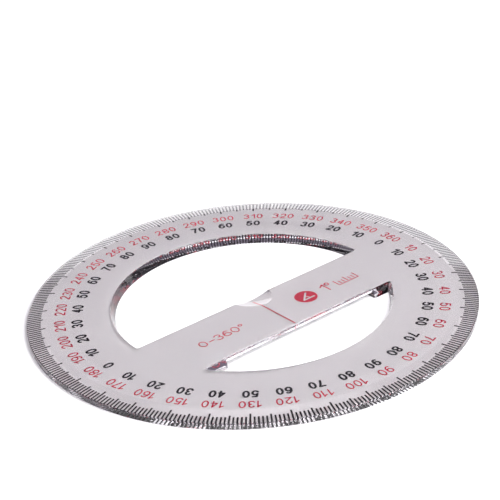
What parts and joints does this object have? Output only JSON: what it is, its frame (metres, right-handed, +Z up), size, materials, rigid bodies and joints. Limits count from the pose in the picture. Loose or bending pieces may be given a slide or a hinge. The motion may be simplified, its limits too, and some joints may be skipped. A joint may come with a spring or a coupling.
{
  "type": "full-circle protractor",
  "caption": "Clear flat ring with a bevelled rim, degree marks and two numeral rings, and a crossbar between two D-shaped windows.",
  "frame": {"origin": "centre of the graduated circle, on the resting face", "axes": "+X along the crossbar towards the 0/360 mark, +Y towards the 270 mark, +Z up, out of the reading face"},
  "size_m": [0.1, 0.1, 0.002],
  "materials": {
    "clear_plastic": "glossy, transparent, very slightly grey",
    "black_ink": "thin stamped ink",
    "red_ink": "thin stamped ink"
  },
  "bodies": {
    "root": {"clear_plate": "clear_plastic", "black_graduation_print": "black_ink", "black_numeral_print": "black_ink", "red_numeral_print": "red_ink", "red_centre_line_print": "red_ink", "red_range_label_print": "red_ink", "red_angle_emblem_print": "red_ink", "red_division_mark_print": "red_ink"}
  },
  "joints": []
}
